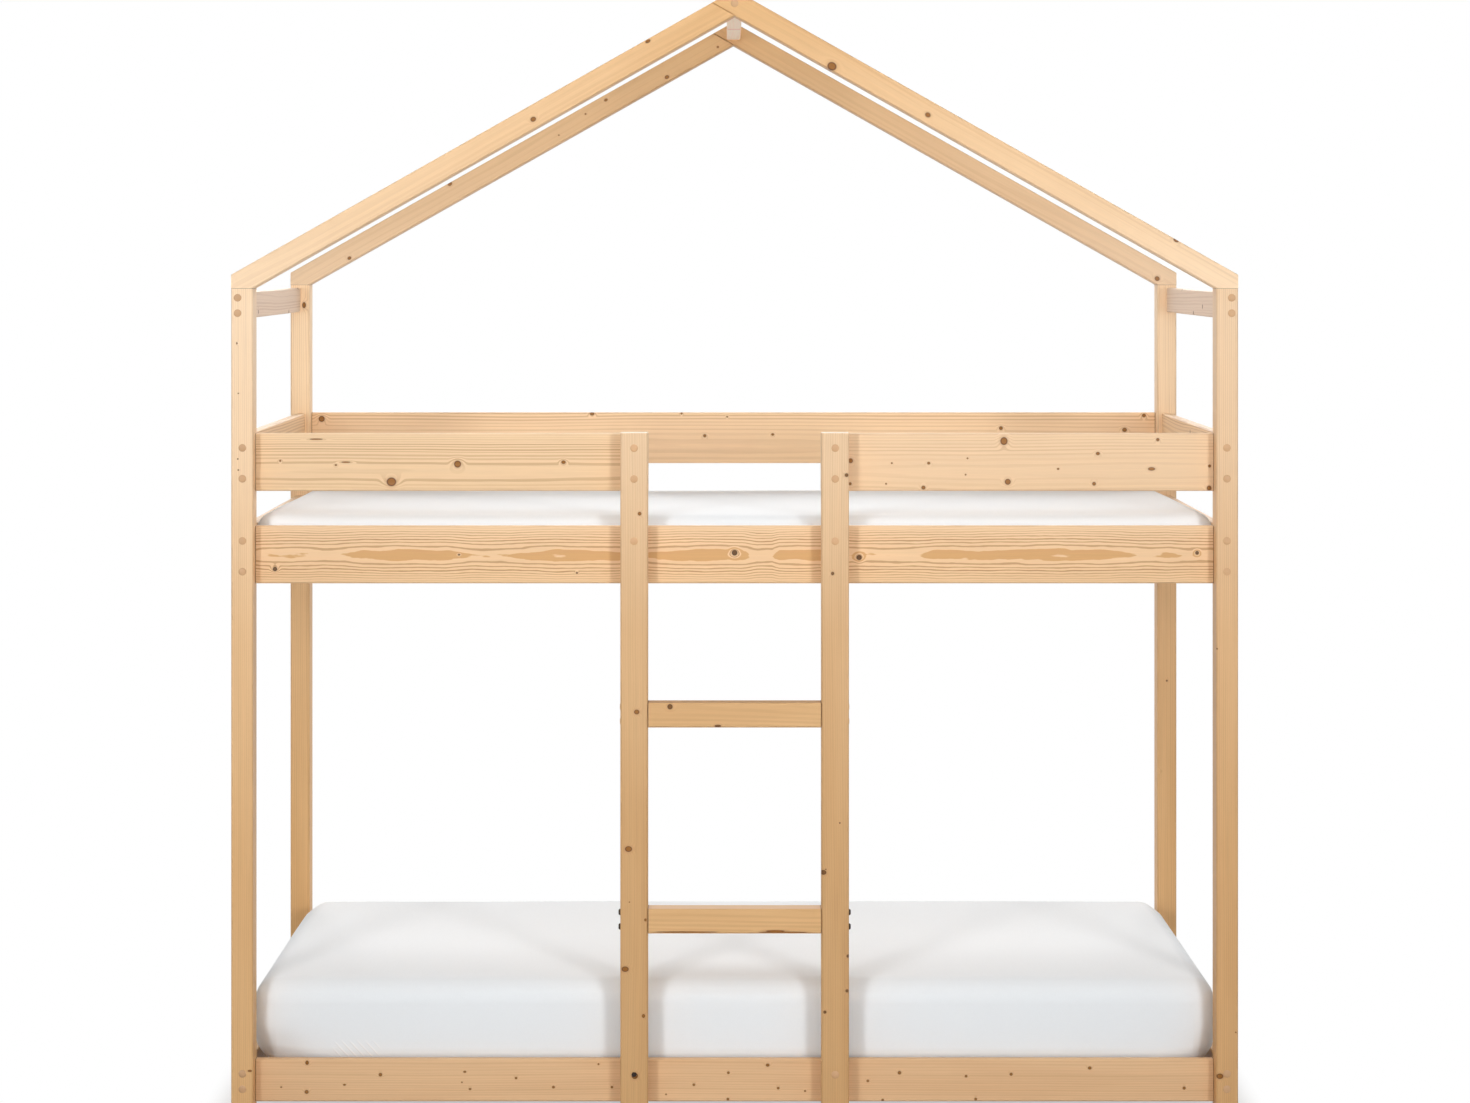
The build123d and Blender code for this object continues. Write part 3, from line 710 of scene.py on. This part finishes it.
def pine(name, number):
    """Solid pine: rings about a pith that wanders along the timber, knots, fibres and end grain."""
    colours = bpy.context.scene.bed_pine
    timber = timbers[name]
    low, high = (Vector(corner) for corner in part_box(name))
    turn = own_axes(timber.grain)
    board = Board(bpy.data.materials.new(f"pine_{name}"))
    local = board.node(
        "ShaderNodeMapping",
        {"vector_type": "POINT"},
        {
            "Vector": board.place(),
            "Location": -(turn @ ((low + high) / 2)),
            "Rotation": turn.to_euler("XYZ"),
        },
    )
    along, across, depth = local.parts()
    shift = (number * 3.17 % 7, number * 1.31 % 5, number * 2.03 % 6)
    tone = timber.tone
    if timber.grain == "slat":
        across, own = slat_places(board, local, low, high, number)
        seeded = local + own * 4 + shift
        tone = (slat_variety[0] + own.parts()[0] * slat_variety[1]) * tone
    else:
        seeded = local + shift

    knot_range = knot_distance(local, timber, turn, low, high, number)
    place = along, across, depth
    late, flame = growth_rings(board, timber, place, seeded, knot_range, low, high, number)
    wood = clear_wood(board, timber, seeded, late, flame)
    fibres = board.cloud(seeded, fibre_scale, detail=3, roughness=0.65)
    streaks = board.cloud(seeded, streak_scale, detail=3, roughness=0.6)
    facing_along = abs(board.node("ShaderNodeNewGeometry", output="Normal").along(turn[0]))
    end_grain = board.fade(facing_along, *end_grain_edges)
    lightness = (1 + (fibres - 0.5) * fibre_tone + (streaks - 0.5) * streak_tone) * tone
    wood = wood * (lightness * (1 - end_grain * end_grain_tone))

    core = 1 - board.fade(knot_range, *core_edges)
    rim = board.fade(knot_range, *rim_inner) * (1 - board.fade(knot_range, *rim_outer))
    stain = 1 - board.fade(knot_range, *stain_edges)
    knot, knot_rim = (shade(colour, timber.knot_tone) for colour in (colours.knot, colours.knot_rim))
    wood = board.mixed(stain * stain_share, wood, shade(colours.late))
    wood = board.mixed(core * (core_share[0] + streaks * core_share[1]), wood, knot)
    wood = board.mixed(rim * rim_share, wood, knot_rim)
    # painted joint shadow, with a little dirt, at a timber's ends
    wood = board.mixed(painted_joint_shadow(board, name), wood, shade(colours.seam))
    return board.surface(
        Base_Color=wood,
        Roughness=0.5 + fibres * 0.16 - core * 0.1,
        Normal=board.relief(fibres * 0.55 + streaks * 0.45, 0.00025, 0.45),
        Specular_IOR_Level=0.35,
        Coat_Weight=0.15,
        Coat_Roughness=0.3,
    )


class DressStep:
    """Gives each timber whose name has one of the step's words its own piece of pine."""

    words = ()

    def execute(self, context):
        order = sorted(timbers)
        for name in timbers:
            if any(word in name for word in self.words):
                give_finish(name, pine(name, order.index(name) + 1))
        return {"FINISHED"}


class DressPosts(DressStep, bpy.types.Operator):
    """Pine for the four posts"""

    bl_idname = "bed.posts"
    bl_label = "Posts"
    words = ("post_",)


class DressRoof(DressStep, bpy.types.Operator):
    """Pine for the rafters and the ridge bar"""

    bl_idname = "bed.roof"
    bl_label = "Roof"
    words = ("rafter_", "ridge_")


class DressRails(DressStep, bpy.types.Operator):
    """Pine for the long rails, the guards and the ledges"""

    bl_idname = "bed.rails"
    bl_label = "Rails and guards"
    words = ("_rail_front", "_rail_back", "guard_front_", "guard_back", "_ledge_")


class DressEnds(DressStep, bpy.types.Operator):
    """Pine for the boards and crossbars at both ends"""

    bl_idname = "bed.ends"
    bl_label = "End boards"
    words = ("_end_", "crossbar_")


class DressLadder(DressStep, bpy.types.Operator):
    """Pine for the ladder's uprights and rungs"""

    bl_idname = "bed.ladder"
    bl_label = "Ladder"
    words = ("ladder_",)


class DressSlats(DressStep, bpy.types.Operator):
    """Pine for both rows of slats"""

    bl_idname = "bed.slats"
    bl_label = "Slats"
    words = ("_slats",)


# Fasteners


def plastic(name, colour):
    """Moulded plastic with a faint grain."""
    board = Board(bpy.data.materials.new(name))
    place = board.place()
    grain = board.cloud(place, (2400, 2400, 2400), detail=2)
    drift = board.cloud(place, (6, 6, 6), detail=1)
    return board.surface(
        Base_Color=board.mixed(board.fade(drift, 0.3, 0.7), shade(colour), shade(colour, 0.88)),
        Roughness=0.36 + grain * 0.12,
        Normal=board.relief(grain, 0.00005, 0.5),
    )


def steel(name, colour, polish):
    """Plated or blackened steel with fine turning marks and a little wear."""
    board = Board(bpy.data.materials.new(name))
    place = board.place()
    marks = board.cloud(place, (3000, 900, 3000), detail=3)
    worn = board.fade(board.cloud(place, (160, 160, 160), detail=3), 0.55, 0.75)
    tint = board.mixed(worn * 0.35, shade(colour), shade([min(1.0, c * 1.5 + 0.02) for c in colour]))
    return board.surface(
        Base_Color=tint,
        Metallic=1.0,
        Roughness=polish + marks * 0.18,
        Normal=board.relief(marks, 0.00004, 0.5),
    )


def outward(middle, size):
    """The way that a cap or a bolt head looks: out of the bed along its own thin or long axis."""
    thin = min(range(3), key=lambda axis: size[axis])
    direction = Vector((0, 0, 0))
    direction[thin] = 1 if middle[thin] > 0 else -1
    return direction


# A cap from its rim to its top, and a bolt's head from its edge to its recess, as shares of radius and rise
cap_profile = (
    (0.7, -0.25), (0.98, 0.0), (1.0, 0.12), (0.985, 0.3), (0.93, 0.44), (0.84, 0.58), (0.7, 0.76),
    (0.52, 0.9), (0.28, 0.98), (0.0, 1.0),
)
head_profile = ((1.0, 0.0), (1.0, 0.45), (0.95, 0.68), (0.8, 0.88), (0.6, 1.0), (0.46, 1.0))
recess_profile = ((0.46, 1.0), (0.44, 0.42), (0.0, 0.38))
recess_sides = 6
shank_profile = ((0.0, 0.0), (0.0022, 0.0), (0.0029, 0.0012))
shank_radius = 0.0029
head_proud, head_sunk = (0.0064, 0.0045), (0.0056, 0.0040)  # radius and rise


def scaled(profile, radius, rise, start=0.0):
    """A profile in metres, from its shares."""
    return [(radius * across, start + rise * up) for across, up in profile]


class FitCaps(bpy.types.Operator):
    """Round, domed cover caps over the bolts"""

    bl_idname = "bed.caps"
    bl_label = "Cover caps"

    def execute(self, context):
        look = context.scene.bed_fasteners
        profile = scaled(cap_profile, look.cap_radius, look.cap_rise)
        caps = bmesh.new()
        for middle, size in loose_parts("bolt_caps"):
            direction = outward(middle, size)
            lathe(caps, profile, facing(middle - direction * look.cap_rise / 2, direction))
        finish = plastic("cap_plastic", look.cap)
        piece("cover_caps", caps, "bed_frame", finish, ["bolt_caps"])
        return {"FINISHED"}


class FitRungBolts(bpy.types.Operator):
    """Blackened bolts into the rungs, with rounded heads and a six-sided recess"""

    bl_idname = "bed.rung_bolts"
    bl_label = "Rung bolts"

    def execute(self, context):
        look = context.scene.bed_fasteners
        bolts = bmesh.new()
        outer_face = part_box("ladder_upright_right")[1][0]
        for middle, size in loose_parts("rung_bolts"):
            side = 1 if middle.x > 0 else -1
            tip = facing((middle.x - side * size.x / 2, middle.y, middle.z), (side, 0, 0))
            proud = abs(middle.x) + size.x / 2 > outer_face + 0.001
            radius, rise = head_proud if proud else head_sunk
            seat = size.x - rise
            outline = [*shank_profile, (shank_radius, seat), *scaled(head_profile, radius, rise, seat)]
            lathe(bolts, outline, tip)
            lathe(bolts, scaled(recess_profile, radius, rise, seat), tip, recess_sides)
        bmesh.ops.remove_doubles(bolts, verts=bolts.verts, dist=1e-6)
        finish = steel("dark_steel", look.dark_steel, 0.34)
        piece("rung_bolts_turned", bolts, "bed_frame", finish, ["rung_bolts"])
        return {"FINISHED"}


class FinishHardware(bpy.types.Operator):
    """Zinc on the hidden bolts and nuts, and beech on the dowels"""

    bl_idname = "bed.hardware"
    bl_label = "Hidden hardware"

    def execute(self, context):
        look = context.scene.bed_fasteners
        zinc = steel("zinc_steel", look.zinc, 0.3)
        for name in ("end_board_bolts", "long_board_bolts", "ridge_bolts", "sleeve_nuts", "barrel_nuts"):
            give_finish(name, zinc)
        # blackened steel, kept dark also to stand in for the painted shade inside the open hole where a cap
        # is missing
        give_finish("ladder_bolts", steel("dark_ladder_steel_and_hole_shade", look.dark_steel, 0.5))
        board = Board(bpy.data.materials.new("dowel_beech"))
        flecks = board.cloud(board.place(), (500, 500, 120), detail=3)
        tint = board.mixed(flecks, shade(look.beech), shade(look.beech_fleck))
        give_finish("rafter_dowels", board.surface(Base_Color=tint, Roughness=0.6 + flecks * 0.1))
        return {"FINISHED"}


# Mattresses and sheets


corner_segments, roll_segments = 8, 7


def round_off(block, edges, radius, segments):
    bmesh.ops.bevel(block, geom=edges, offset=radius, segments=segments, profile=0.5, affect="EDGES")


def rounded_block(low, high, corner, roll, step):
    """A closed block with rounded corners and rolled edges, cut into even cells."""
    block = bmesh.new()
    bmesh.ops.create_cube(block, size=1)
    size = high - low
    for corner_point in block.verts:
        corner_point.co = Vector(
            low[axis] + (corner_point.co[axis] + 0.5) * size[axis] for axis in range(3)
        )
    upright = [edge for edge in block.edges if abs(edge.verts[0].co.z - edge.verts[1].co.z) > size.z / 2]
    round_off(block, upright, corner, corner_segments)
    level = [
        edge
        for edge in block.edges
        if abs(edge.verts[0].co.z - edge.verts[1].co.z) < 1e-6 and len(edge.link_faces) == 2
        and any(abs(face.normal.z) > 0.5 for face in edge.link_faces)
        and any(abs(face.normal.z) < 0.5 for face in edge.link_faces)
    ]
    round_off(block, level, roll, roll_segments)
    for axis in range(3):
        count = max(2, round(size[axis] / step))
        for number in range(1, count):
            cut = low.copy()
            cut[axis] = low[axis] + size[axis] * number / count
            direction = Vector((0, 0, 0))
            direction[axis] = 1
            everything = block.verts[:] + block.edges[:] + block.faces[:]
            bmesh.ops.bisect_plane(block, geom=everything, plane_co=cut, plane_no=direction)
    return block


def cloth_weave(place, spacing):
    """Threads over and under each other, as a height."""
    waves = [(part * (2 * math.pi / spacing)).sine() for part in place.parts()]
    return waves[0] * waves[1] + waves[1] * waves[2] + waves[2] * waves[0]


gather_width, gather_slant, gather_sharpness = 0.0165, 0.9, 7
gather_middle, gather_height = -0.79, 0.128  # along the bed, and above the floor
gather_half_length, gather_half_height = (0.038, 0.055), (0.012, 0.024)  # full up to, gone from
gather_fade = (-0.40, -0.38)  # from the front towards the back
# painted highlight on the pleats' ridges
painted_pleat_highlight = (0.97, 0.97, 0.97)


def gathers(board, place):
    """Short slanting pleats at the lower sheet's front, near its left corner, as a height; the same mask
    lays a painted highlight on their ridges.
    """
    x, y, z = place.parts()
    wave = ((x + z * gather_slant) * (2 * math.pi / gather_width)).sine()
    ridge = (wave * 0.5 + 0.5) ** gather_sharpness
    along = 1 - board.fade(abs(x - gather_middle), *gather_half_length)
    upright = 1 - board.fade(abs(z - gather_height), *gather_half_height)
    return ridge * (along * upright) * (1 - board.fade(y, *gather_fade))


def fabric(name, colour, spacing, softness):
    """Cotton or knit: a fine weave, faint creases, a soft sheen and a painted highlight on the lower sheet's
    pleats.
    """
    board = Board(bpy.data.materials.new(name))
    place = board.place()
    weave = cloth_weave(place, spacing)
    creases = board.cloud(place, (5, 9, 9), detail=4, roughness=0.55)
    slubs = board.cloud(place, (400, 30, 400), detail=2)
    tint = board.mixed(board.fade(slubs, 0.3, 0.7), shade(colour, 0.985), shade(colour))
    gathered = gathers(board, place)
    fine = board.relief(weave * 0.12 + slubs * 0.2 + gathered * 9, 0.00012, 0.5)
    return board.surface(
        # painted highlight along the pleats' ridges
        Base_Color=board.mixed(gathered * 0.8, tint, shade(painted_pleat_highlight)),
        Roughness=0.78 + slubs * 0.12,
        Normal=board.relief(creases, softness, 0.5, Normal=fine),
        Sheen_Weight=0.25,
        Sheen_Roughness=0.5,
    )


@dataclass
class Filling:
    """How far a berth's foam stands above its plain block, and how much further at its ends."""

    front: float
    back: float
    ends: float


fillings = {"upper": Filling(0.010, 0.001, 0.012), "lower": Filling(0.013, 0.006, 0.0)}
crown = 0.002
front_sink, front_sink_reach = 0.008, 0.065
side_pull, side_pull_from = 0.003, 0.9  # the pull starts at this share of the half width
end_spread = 0.0105
clear_of_post_from, clear_of_post_over = 0.11, 0.07  # in front of the bedding's back edge


def clamped(value):
    return max(0.0, min(1.0, value))


def settled(point, low, high, filling):
    """Where a point of a block goes once the foam has settled, with full sides and a soft front edge."""
    half = (high - low) / 2
    middle = (high + low) / 2
    across = (point - middle).xy
    share = Vector((abs(across.x) / half.x, abs(across.y) / half.y))
    rise = (point.z - low.z) / (high.z - low.z)
    from_front = point.y - low.y
    inside = (1 - share.x**6) * (1 - share.y**6)
    at_end = share.x**12
    moved = point.copy()
    moved.z += (filling.front + (filling.back - filling.front) * from_front / (high.y - low.y)) * rise
    moved.z -= crown * (1 - inside) * rise
    moved.z -= front_sink * max(0.0, 1 - from_front / front_sink_reach) ** 2 * rise**3
    moved.z += filling.ends * at_end * rise
    fullness = 1 - (2 * rise - 1) ** 2
    for axis in (0, 1):
        if share[axis] > side_pull_from:
            sign = 1 if across[axis] > 0 else -1
            near = (share[axis] - side_pull_from) / (1 - side_pull_from)
            moved[axis] -= sign * side_pull * (1 - fullness) * near
    clear_of_post = 1 - clamped((point.y - high.y + clear_of_post_from) / clear_of_post_over)
    spread = end_spread * at_end * clear_of_post
    moved.x += spread if across.x > 0 else -spread
    return moved + tucked(point, low, high)


tuck = Vector((0, 0.030, 0.004))
tuck_reaches = {"left": (1.0, 0.09), "right": (0.7, 0.05)}  # how strong it is, and how far it reaches
tuck_top, tuck_top_fade = 0.085, 0.06
tuck_back, tuck_back_fade = 0.09, 0.05


def tucked(point, low, high):
    """How far the bedding draws back under itself at its lower corners in front."""
    from_ends = {"left": point.x - low.x, "right": high.x - point.x}
    along = sum(
        strength * math.exp(-((from_ends[end] / reach) ** 2))
        for end, (strength, reach) in tuck_reaches.items()
    )
    below = clamped((tuck_top - (point.z - low.z)) / tuck_top_fade)
    in_front = clamped((tuck_back - (point.y - low.y)) / tuck_back_fade)
    return tuck * (along * below * in_front)


foam_inset = 0.003  # under the sheet
foam_cut, sheet_cut = (0.044, 0.041, 0.04), (0.045, 0.042, 0.022)  # corner, roll and cell


class MakeMattresses(bpy.types.Operator):
    """Foam mattresses in a knitted cover"""

    bl_idname = "bed.mattresses"
    bl_label = "Mattresses"

    def execute(self, context):
        look = context.scene.bed_bedding
        knit = fabric("mattress_knit", look.cover, 0.0022, 0.002)
        for berth in ("upper", "lower"):
            low, high = (Vector(corner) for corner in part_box(f"{berth}_mattress"))
            low += Vector((foam_inset, foam_inset, 0))
            high -= Vector((foam_inset, foam_inset, foam_inset))
            foam = rounded_block(low, high, *foam_cut)
            for corner in foam.verts:
                corner.co = settled(corner.co, low, high, fillings[berth])
            made = piece(
                f"{berth}_mattress_foam", foam, f"{berth}_bedding", knit,
                [f"{berth}_mattress"], 60,
            )
        return {"FINISHED"}


pleat_depth, pleat_reach = 0.0035, 0.14
pleat_waves = ((34, 3.4, 0.7), (61, -2, 0.3))  # half waves a metre, the slant and the share of each
sheet_sway, sheet_sway_scale = 0.0012, 3.2
sheet_ease = 0.0008  # how far the cloth lies inside its own solid's face


def pleats(point, low, high):
    """How far the gathered cloth at the corners stands out, or sinks, at a point of a sheet's side."""
    rise = (point.z - low.z) / (high.z - low.z)
    from_end = min(point.x - low.x, high.x - point.x)
    from_side = min(point.y - low.y, high.y - point.y)
    run = max(from_end, from_side)
    weight = math.exp(-run / pleat_reach) * max(0.0, 1 - rise) ** 1.3
    fold = sum(
        share * math.sin((run * waves + rise * slant) * math.pi) for waves, slant, share in pleat_waves
    )
    return weight * fold * pleat_depth


class MakeSheets(bpy.types.Operator):
    """Fitted cotton sheets, taut on top, gathered at the corners and turned in underneath"""

    bl_idname = "bed.sheets"
    bl_label = "Fitted sheets"

    def execute(self, context):
        look = context.scene.bed_bedding
        cotton = fabric("white_cotton", look.cotton, look.thread, 0.0012)
        for berth in ("upper", "lower"):
            low, high = (Vector(corner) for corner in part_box(f"{berth}_sheet"))
            cloth = rounded_block(low, high, *sheet_cut)
            inner = [
                face
                for face in cloth.faces
                if face.normal.z < -0.9
                and low.x + look.hem < face.calc_center_median().x < high.x - look.hem
                and low.y + look.hem < face.calc_center_median().y < high.y - look.hem
            ]
            bmesh.ops.delete(cloth, geom=inner, context="FACES")
            cloth.normal_update()
            for corner in cloth.verts:
                normal = corner.normal.copy()
                base = settled(corner.co, low, high, fillings[berth])
                sway = noise.noise(corner.co * sheet_sway_scale) * sheet_sway if normal.z > 0.5 else 0
                side = 1 - abs(normal.z)
                move = pleats(corner.co, low, high) * side + sway
                corner.co = base + normal * (move - sheet_ease)
            made = piece(
                f"{berth}_fitted_sheet", cloth, f"{berth}_bedding", cotton,
                [f"{berth}_sheet"], 80,
            )
        return {"FINISHED"}


# Studio


floor_radius, floor_sides = 60, 64
shadow_reach = 0.08  # past the bed's own box, where the floor turns white
shadow_share = 0.5  # how much of the floor under the bed is lit and not white
camera_x, camera_shift = -0.020, (0.0068, -0.1990)


class SetStage(bpy.types.Operator):
    """Floor, lights, world and camera of a plain white studio"""

    bl_idname = "bed.stage"
    bl_label = "Studio"

    def execute(self, context):
        studio = context.scene.bed_studio
        self.lay_floor()
        self.set_lights(studio)
        self.set_camera(studio)
        context.scene.view_settings.view_transform = "Standard"
        return {"FINISHED"}

    def seen_directly(self, board):
        """One for rays that come from the camera, a gloss or a glass, and nothing for the light's own."""
        rays = [
            board.node("ShaderNodeLightPath", output=name)
            for name in ("Is Camera Ray", "Is Glossy Ray", "Is Transmission Ray")
        ]
        return rays[0].greater(rays[1]).greater(rays[2])

    def lay_floor(self):
        floor = bmesh.new()
        bmesh.ops.create_circle(floor, cap_ends=True, radius=floor_radius, segments=floor_sides)
        data = bpy.data.meshes.new("studio_floor")
        floor.to_mesh(data)
        floor.free()
        made = into_scene("studio_floor", data)
        board = Board(bpy.data.materials.new("studio_floor"))
        out = abs(board.place()) - (cad_high.x, cad_high.y, 0)
        distance = out.greater((0, 0, 0)).length()
        seen = self.seen_directly(board)
        far = (1 - shadow_share + board.fade(distance, 0.0, shadow_reach) * shadow_share) * seen
        pale = board.mixed(seen, (0.5, 0.5, 0.5, 1), (0.96, 0.96, 0.96, 1))
        near = board.node("ShaderNodeBsdfDiffuse", {}, {"Color": pale})
        white = board.node("ShaderNodeEmission", {}, {"Color": (1, 1, 1, 1), "Strength": 1.0})
        shader = board.node("ShaderNodeMixShader", {}, {0: far, 1: near, 2: white})
        data.materials.append(board.finish("ShaderNodeOutputMaterial", shader))

    def set_lights(self, studio):
        world = bpy.data.worlds.new("studio")
        bpy.context.scene.world = world
        board = Board(world)
        ambient, white = (
            board.node("ShaderNodeBackground", {}, {"Color": (1, 1, 1, 1), "Strength": strength})
            for strength in (studio.ambient, 1.0)
        )
        shader = board.node("ShaderNodeMixShader", {}, {0: self.seen_directly(board), 1: ambient, 2: white})
        board.finish("ShaderNodeOutputWorld", shader)
        boxes = [
            ("key_box", (0.0, -3.9, 4.6), (4.5, 2.5), studio.key_power, (0, 0, 1.0), 180),
            ("back_box", (0.0, 4.2, 3.85), (4.5, 3.2), studio.back_power, (0, 0, 1.0), 180),
            ("left_box", (-3.1, -6.6, 1.9), (1.0, 1.8), studio.side_power, (0, 0, 1.4), 60),
            ("right_box", (3.1, -6.6, 1.9), (1.0, 1.8), studio.side_power, (0, 0, 1.4), 60),
        ]
        for name, where, (wide, high), power, aim, spread in boxes:
            lamp = bpy.data.lights.new(name, "AREA")
            lamp.shape = "RECTANGLE"
            lamp.size, lamp.size_y, lamp.energy = wide, high, power
            lamp.spread = math.radians(spread)
            box = into_scene(name, lamp)
            box.location = where
            box.visible_camera = False
            box.rotation_euler = (Vector(aim) - Vector(where)).to_track_quat("-Z", "Y").to_euler()

    def set_camera(self, studio):
        lens = bpy.data.cameras.new("studio_camera")
        lens.lens, lens.sensor_width = studio.lens, 36.0
        lens.shift_x, lens.shift_y = camera_shift
        lens.clip_end = 200
        camera = into_scene("studio_camera", lens)
        camera.location = (camera_x, -studio.camera_distance, studio.camera_height)
        camera.rotation_euler = (math.radians(90), 0, 0)
        bpy.context.scene.camera = camera


class BedPanel(bpy.types.Panel):
    """The bed's steps, finishes and studio, in the sidebar"""

    bl_idname = "VIEW3D_PT_bunk_bed"
    bl_label = "Bunk bed"
    bl_space_type = "VIEW_3D"
    bl_region_type = "UI"
    bl_category = "Bunk bed"

    def draw(self, context):
        for step in steps:
            self.layout.operator(step.bl_idname)
        for group in settings():
            box = self.layout.box()
            for name in group.bl_rna.properties.keys():
                if name not in ("rna_type", "name"):
                    box.prop(group, name)


groups = {
    "bed_pine": PineColours,
    "bed_bedding": BeddingLook,
    "bed_fasteners": FastenerLook,
    "bed_studio": StudioSetup,
}
steps = (
    SetStage, DressPosts, DressRoof, DressRails, DressEnds, DressLadder, DressSlats, FitCaps, FitRungBolts,
    FinishHardware, MakeMattresses, MakeSheets,
)


def register():
    for name, group in groups.items():
        bpy.utils.register_class(group)
        setattr(bpy.types.Scene, name, bpy.props.PointerProperty(type=group))
    for part in (*steps, BedPanel):
        bpy.utils.register_class(part)


def unregister():
    for part in reversed((*steps, BedPanel)):
        bpy.utils.unregister_class(part)
    for name, group in reversed(groups.items()):
        delattr(bpy.types.Scene, name)
        bpy.utils.unregister_class(group)


def main():
    register()
    for step in steps:
        prefix, name = step.bl_idname.split(".")
        getattr(getattr(bpy.ops, prefix), name)()


if __name__ == "__main__":
    main()
